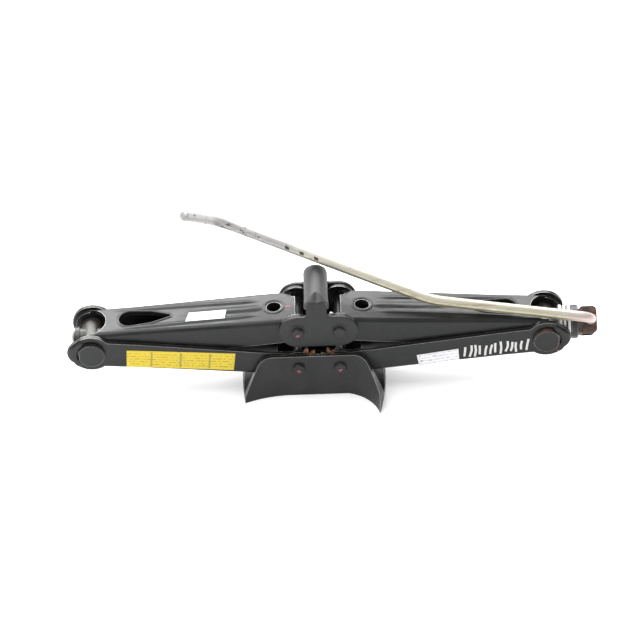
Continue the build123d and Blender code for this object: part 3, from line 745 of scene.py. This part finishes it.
def oiled_steel(name, colour, rough, rusty):
    """Bare machined steel: grey with brown stains where noise is high, and a fine grain."""
    material, tree, shader = new_material(name)
    stain = math_node(tree, "MULTIPLY", ramp(tree, noise(tree, 110.0, 6.0, 0.7), 0.45, 0.7), rusty)
    grey = blend_colour(tree, noise(tree, 30.0), (*[c * 0.7 for c in colour], 1), (*colour, 1))
    tree.links.new(blend_colour(tree, stain, grey, (0.17, 0.085, 0.045, 1)), shader.inputs["Base Color"])
    tree.links.new(math_node(tree, "SUBTRACT", 0.85, stain, True), shader.inputs["Metallic"])
    roughness = math_node(tree, "ADD", rough, math_node(tree, "MULTIPLY", stain, 0.4))
    tree.links.new(roughness, shader.inputs["Roughness"])
    bump(tree, shader, noise(tree, 900.0, 3.0), 0.2, 0.0004)
    return material


steel = oiled_steel("oiled_steel", (0.42, 0.42, 0.41), 0.36, 0.25)
dull_steel = oiled_steel("dull_steel", (0.075, 0.078, 0.075), 0.42, 0.20)
bright_zinc = oiled_steel("bright_zinc", (0.80, 0.79, 0.76), 0.32, 0.10)
for node in ("nut_trunnion", "bearing_trunnion"):
    paint_node(node, dull_steel)
paint_node("thrust_balls", steel)
for node in ("thrust_race_inner", "thrust_race_outer", "ball_cage"):
    paint_node(node, bright_zinc)
paint_node("screw_collar", black_paint("collar_paint", (0.022, 0.022, 0.022), 0.4, 0.6))


# ---------------------------------------------------------------------------
# Lead screw: a rolled trapezoidal thread from its tail to the bearing, then a plain shank
# riveted inside the yoke.
# ---------------------------------------------------------------------------

THREAD_PITCH = 0.003
THREAD_R = 0.006
THREAD_ROOT_R = 0.0046
THREAD_END = 0.008  # plain shank starts this far inside the right elbow
CREST, FLANK = 0.30, 0.32  # shares of half a pitch
TAIL_FADE, SHANK_FADE = 0.002, 0.004  # lengths over which the thread runs out
TAIL_EASE = 0.0008
RIVET_R = 0.0075
RIVET_T = 0.0014

screw_low, screw_high = [np.array(v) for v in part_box("lead_screw")]
axis_y, axis_z = centre_of("lead_screw")[1:]
right_elbow = centre_of("bearing_trunnion")[0]
shank_start = right_elbow - THREAD_END
x = np.arange(screw_low[0] + TAIL_EASE, shank_start, THREAD_PITCH / 10)[:, None]
turn = np.linspace(0, 2 * math.pi, 32, endpoint=False)[None, :]
phase = np.abs(((x / THREAD_PITCH - turn / (2 * math.pi)) % 1.0) * 2 - 1)
flank = np.clip((phase - CREST) / FLANK, 0, 1)
run_out = np.clip((shank_start - x) / SHANK_FADE, 0, 1)
run_out = run_out * np.clip((x - screw_low[0]) / TAIL_FADE, 0, 1)
threaded = THREAD_R - (THREAD_R - THREAD_ROOT_R) * flank * run_out
shank = (
    (shank_start, THREAD_R), (screw_high[0] - RIVET_T, THREAD_R), (screw_high[0] - RIVET_T, RIVET_R),
    (screw_high[0] - 0.0004, RIVET_R), (screw_high[0], RIVET_R - 0.0008), (screw_high[0], 0.0),
)
shank_x = np.array([p[0] for p in shank])[:, None]
shank_r = np.array([p[1] for p in shank])[:, None] + 0 * turn
tail_x = np.full((2, 1), screw_low[0])
tail_r = np.array((0.0, THREAD_ROOT_R))[:, None] + 0 * turn
x = np.concatenate((tail_x, x, shank_x))
radius = np.concatenate((tail_r, threaded, shank_r))
points = np.stack(
    np.broadcast_arrays(x, axis_y + radius * np.cos(turn), axis_z + radius * np.sin(turn)), -1
)
screw_piece = surface("lead_screw_threaded", points, wrap_columns=True)
split = screw_piece.modifiers.new("edges", "EDGE_SPLIT")
split.split_angle = math.radians(50.0)
finish_piece(screw_piece, steel, "screw", "lead_screw")


# ---------------------------------------------------------------------------
# Yoke: a fork of thick iron strap riveted on the screw's end, unpainted and rusty, most of
# all on its upper half; the lower half is kept near black as painted shadow of the crank rod.
# ---------------------------------------------------------------------------

def rusty_iron(name):
    """Dark iron with rust: brown where noise is high, near black where it is low, with less rust low down
    as painted shadow.
    """
    material, tree, shader = new_material(name)
    patches = ramp(tree, noise(tree, 150.0, 8.0, 0.7, 0.3), 0.36, 0.60)
    # Rust thins towards the bottom: painted shadow, keeping the lower half near black under the crank
    # rod.
    high = ramp(tree, object_place(tree)["Z"], 0.041, 0.047)
    rust_and_rod_shadow = math_node(tree, "ADD", 0.30, math_node(tree, "MULTIPLY", high, 0.70))
    patches = math_node(tree, "MULTIPLY", patches, rust_and_rod_shadow)
    fine = noise(tree, 900.0, 4.0, 0.7)
    rust = blend_colour(tree, fine, (0.08, 0.040, 0.025, 1), (0.22, 0.135, 0.095, 1))
    colour = blend_colour(tree, patches, (0.026, 0.025, 0.024, 1), rust)
    tree.links.new(colour, shader.inputs["Base Color"])
    roughness = math_node(tree, "ADD", 0.45, math_node(tree, "MULTIPLY", patches, 0.35))
    tree.links.new(roughness, shader.inputs["Roughness"])
    shader.inputs["Metallic"].default_value = 0.3
    bump(tree, shader, math_node(tree, "ADD", fine, patches), 0.4, 0.0006)
    return material


paint_node("crank_yoke", rusty_iron("yoke_iron"))


# ---------------------------------------------------------------------------
# Crank: 8 mm rod hooked through the yoke, bent twice, zinc plated with a yellow passivate
# that is worn to silver along the grip.
# ---------------------------------------------------------------------------

ROD_R = 0.004
HINGE_AT = 0.0089  # the hinge's place beyond the yoke's inner face
PATH_STEP = 0.0015  # between points of the rod's path
HINGE_TILT = math.radians(45.8)  # the hinge leans forward from the horizontal
ROD_OFFSET = 0.024
ROD_TAIL = 0.0156
RUN_A = (0.124, math.radians(8.1))  # length and angle to the screw
RUN_B = (0.173, math.radians(22.5))
GRIP = (0.052, math.radians(-2.5))
GRIP_LEAN = math.radians(60.5)
BEND_R = (0.010, 0.090, 0.026)
SCAR_STEP, SCAR_SHIFT = 0.011, 0.006  # spacing of the dark scars, and where they fall
SCAR_FROM, SCAR_TO = -0.027, 0.002  # in X
SCAR_ROUND = 0.46  # how far round the rod the scars lie
# How far round the rod the band of painted shade lies.
UNDERSIDE_SHADE_ROUND = 0.355


def rounded_path(corners, radii):
    """Points of a polyline whose corners are replaced by arcs, and the unit tangents there."""
    corners = np.array(corners)
    cuts, pieces, tangents = [corners[0]], [], []
    for k, radius in enumerate(radii, start=1):
        into = corners[k] - corners[k - 1]
        out = corners[k + 1] - corners[k]
        into /= np.linalg.norm(into)
        out /= np.linalg.norm(out)
        sweep = math.acos(float(np.dot(into, out)))
        reach = radius * math.tan(sweep / 2)
        side = out - into * math.cos(sweep)
        side /= np.linalg.norm(side)
        arc_turn = np.linspace(0, sweep, max(8, int(radius * sweep / PATH_STEP)))[:, None]
        start = corners[k] - into * reach
        bend = start + into * radius * np.sin(arc_turn) + side * radius * (1 - np.cos(arc_turn))
        run = np.linspace(0, 1, max(3, int(np.linalg.norm(start - cuts[-1]) / PATH_STEP)))
        run = run[min(k - 1, 1):-1, None]
        pieces += [cuts[-1] + (start - cuts[-1]) * run, bend]
        tangents += [into + 0 * run, into * np.cos(arc_turn) + side * np.sin(arc_turn)]
        cuts.append(bend[-1])
    last = corners[-1] - cuts[-1]
    run = np.linspace(0, 1, max(3, int(np.linalg.norm(last) / PATH_STEP)))[1:, None]
    pieces.append(cuts[-1] + last * run)
    tangents.append(last / np.linalg.norm(last) + 0 * run)
    return np.concatenate(pieces), np.concatenate(tangents)


hinge_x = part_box("crank_yoke")[0][0] + HINGE_AT
out_x = np.array((1.0, 0.0, 0.0))
in_plane = np.array((0.0, math.sin(HINGE_TILT), math.cos(HINGE_TILT)))
hinge_axis = np.array((0.0, -math.cos(HINGE_TILT), math.sin(HINGE_TILT)))
hinge = np.array((hinge_x, axis_y, axis_z))
hook = hinge + hinge_axis * ROD_OFFSET
knee = hook + RUN_A[0] * (in_plane * math.sin(RUN_A[1]) - out_x * math.cos(RUN_A[1]))
wrist = knee + RUN_B[0] * (in_plane * math.sin(RUN_B[1]) - out_x * math.cos(RUN_B[1]))
level = in_plane * math.sin(GRIP[1]) - out_x * math.cos(GRIP[1])
grip_end = wrist + GRIP[0] * (level * math.cos(GRIP_LEAN) + hinge_axis * math.sin(GRIP_LEAN))
path, tangent = rounded_path([hinge - hinge_axis * ROD_TAIL, hook, knee, wrist, grip_end], BEND_R)
first = np.cross(tangent, in_plane)
first /= np.linalg.norm(first, axis=1)[:, None]
second = np.cross(tangent, first)
turn = np.linspace(0, 2 * math.pi, 24, endpoint=False)[None, :, None]
ring = first[:, None] * np.cos(turn) + second[:, None] * np.sin(turn)
body_rows = path[:, None] + ring * ROD_R
ends = []
for at, sign in ((0, -1.0), (-1, 1.0)):
    inset = np.array((0.0, 0.80, 1.0))[:, None, None]
    proud = np.array((0.0, 0.0, -0.0009))[:, None, None] * sign
    rows = path[at] + ring[at][None] * ROD_R * inset + tangent[at] * proud
    ends.append(rows if at == 0 else rows[::-1])
body_rows = body_rows[1:-1]
rod_points = np.concatenate((ends[0], body_rows, ends[1]))
rod = surface("crank_bent_rod", rod_points, wrap_columns=True)


def zinc_rod(name):
    """Yellow-passivated zinc with streaks along the rod, dark scratches, a silvery worn end and a band of
    painted shade along its underside.
    """
    material, tree, shader = new_material(name)
    shares = add_node(tree, "ShaderNodeUVMap", {"uv_map": "shares"}).outputs[0]
    place = add_node(tree, "ShaderNodeSeparateXYZ", None, {0: shares})
    along, around = place.outputs["X"], place.outputs["Y"]
    object_at = add_node(tree, "ShaderNodeTexCoord").outputs["Object"]
    squeezed = add_node(
        tree, "ShaderNodeVectorMath", {"operation": "MULTIPLY"}, {0: object_at, 1: (0.12, 1.0, 1.0)}
    ).outputs[0]
    streaks = noise(tree, 420.0, 4.0, 0.6, 0.0, squeezed)
    cloud = noise(tree, 45.0, 3.0, 0.6)
    tint = blend_colour(tree, cloud, (0.42, 0.41, 0.29, 1), (0.50, 0.46, 0.39, 1))
    tint = blend_colour(tree, ramp(tree, streaks, 0.52, 0.68), tint, (0.30, 0.25, 0.18, 1))
    tint = blend_colour(tree, ramp(tree, streaks, 0.40, 0.28), tint, (0.58, 0.58, 0.50, 1))
    # A dark band along the rod's lower side: painted shade, standing in for the rod reflecting the dark
    # jack beneath it.
    underside_shade = math_node(tree, "ABSOLUTE", math_node(tree, "SUBTRACT", around, UNDERSIDE_SHADE_ROUND))
    underside_shade = math_node(tree, "ADD", underside_shade, math_node(tree, "MULTIPLY", cloud, 0.05))
    tint = blend_colour(tree, ramp(tree, underside_shade, 0.085, 0.045), tint, (0.20, 0.18, 0.09, 1))
    # The hooked end near the yoke is tinted pinkish-white: painted highlight on the bend.
    tint = blend_colour(tree, ramp(tree, along, 0.16, 0.10), tint, (0.50, 0.41, 0.39, 1))
    paler = math_node(tree, "MULTIPLY", ramp(tree, along, 0.40, 0.70), 0.55)
    tint = blend_colour(tree, paler, tint, (0.62, 0.61, 0.54, 1))
    worn = ramp(tree, math_node(tree, "ADD", along, math_node(tree, "MULTIPLY", cloud, 0.10)), 0.72, 0.80)
    silver = blend_colour(tree, streaks, (0.27, 0.265, 0.26, 1), (0.50, 0.49, 0.48, 1))
    tint = blend_colour(tree, worn, tint, silver)
    marks = math_node(
        tree, "MULTIPLY", ramp(tree, noise(tree, 170.0, 5.0, 0.75), 0.58, 0.64),
        ramp(tree, along, 0.45, 0.80),
    )
    tint = blend_colour(tree, marks, tint, (0.10, 0.085, 0.07, 1))
    at_x = add_node(tree, "ShaderNodeSeparateXYZ", None, {0: object_at}).outputs["X"]
    shifted = math_node(tree, "ADD", at_x, 0.5 + SCAR_SHIFT)
    spacing = math_node(tree, "PINGPONG", shifted, SCAR_STEP / 2)
    beside = math_node(tree, "ABSOLUTE", math_node(tree, "SUBTRACT", around, SCAR_ROUND))
    beside = math_node(tree, "ADD", beside, math_node(tree, "MULTIPLY", streaks, 0.06))
    scars = ramp(tree, spacing, 0.0020, 0.0012)
    scars = math_node(tree, "MULTIPLY", scars, ramp(tree, beside, 0.10, 0.06))
    past_start = ramp(tree, at_x, SCAR_FROM - 0.002, SCAR_FROM)
    near = math_node(tree, "MULTIPLY", past_start, ramp(tree, at_x, SCAR_TO + 0.002, SCAR_TO))
    tint = blend_colour(tree, math_node(tree, "MULTIPLY", scars, near), tint, (0.05, 0.045, 0.035, 1))
    tree.links.new(tint, shader.inputs["Base Color"])
    shader.inputs["Metallic"].default_value = 0.45
    roughness = math_node(tree, "ADD", 0.26, math_node(tree, "MULTIPLY", streaks, 0.2))
    tree.links.new(roughness, shader.inputs["Roughness"])
    bump(tree, shader, streaks, 0.15, 0.0003)
    return material


rod_zinc = zinc_rod("rod_zinc")
finish_piece(rod, rod_zinc, "crank", "crank_rod")
paint_node("crank_washer", steel)


# ---------------------------------------------------------------------------
# Stage: a pale seamless floor under broad soft light from above and behind, and a long lens
# that looks down on the jack from the front.
# ---------------------------------------------------------------------------

ELEVATION = math.radians(40.0)
ROLL = math.radians(-1.9)
DISTANCE = 2.0
VIEW_WIDTH = 0.494  # width seen at the jack
AIM = (0.0014, 0.0, 0.0535)
LAMP_AIM = (0.0, 0.0, 0.05)
FLOOR_HALF = 6.0

floor_mesh = bpy.data.meshes.new("floor")
corners = [(x * FLOOR_HALF, y * FLOOR_HALF, 0) for x, y in ((-1, -1), (1, -1), (1, 1), (-1, 1))]
floor_mesh.from_pydata(corners, [], [(0, 1, 2, 3)])
floor = bpy.data.objects.new("floor", floor_mesh)
bpy.context.collection.objects.link(floor)
floor_finish, _, floor_shader = new_material("floor_white")
floor_shader.inputs["Base Color"].default_value = (0.92, 0.92, 0.925, 1)
floor_shader.inputs["Roughness"].default_value = 0.9
floor_shader.inputs["Emission Color"].default_value = (1.0, 1.0, 1.0, 1)
floor_shader.inputs["Emission Strength"].default_value = 0.22
floor_mesh.materials.append(floor_finish)

world = bpy.data.worlds.new("studio")
bpy.context.scene.world = world
world.use_nodes = True
world.node_tree.nodes["Background"].inputs["Color"].default_value = (1.0, 1.0, 1.0, 1)
world.node_tree.nodes["Background"].inputs["Strength"].default_value = 0.82


def soft_box(name, location, size, watts):
    """A square area light at a place, turned to face the jack."""
    data = bpy.data.lights.new(name, "AREA")
    data.size = size
    data.energy = watts
    lamp = bpy.data.objects.new(name, data)
    lamp.location = location
    lamp.rotation_mode = "QUATERNION"
    lamp.rotation_quaternion = (Vector(LAMP_AIM) - Vector(location)).to_track_quat("-Z", "Y")
    bpy.context.collection.objects.link(lamp)


soft_box("key", (-0.6, -0.1, 1.5), 0.9, 14.0)
soft_box("back", (0.25, 1.25, 1.15), 1.2, 34.0)
soft_box("back_left", (-0.75, 1.20, 1.05), 1.0, 30.0)

camera = bpy.data.objects.new("camera", bpy.data.cameras.new("camera"))
camera.data.sensor_width = 36.0
camera.data.lens = 18.0 / (VIEW_WIDTH / 2 / DISTANCE)
camera.data.clip_start = 0.05
camera.data.clip_end = 20.0
camera.location = (
    AIM[0],
    AIM[1] - DISTANCE * math.cos(ELEVATION),
    AIM[2] + DISTANCE * math.sin(ELEVATION),
)
camera.rotation_mode = "QUATERNION"
camera.rotation_quaternion = Vector(
    (0, math.cos(ELEVATION), -math.sin(ELEVATION))
).to_track_quat("-Z", "Y")
camera.rotation_mode = "XYZ"
camera.rotation_euler.rotate_axis("Z", ROLL)
bpy.context.collection.objects.link(camera)
bpy.context.scene.camera = camera
bpy.context.scene.view_settings.view_transform = "Standard"
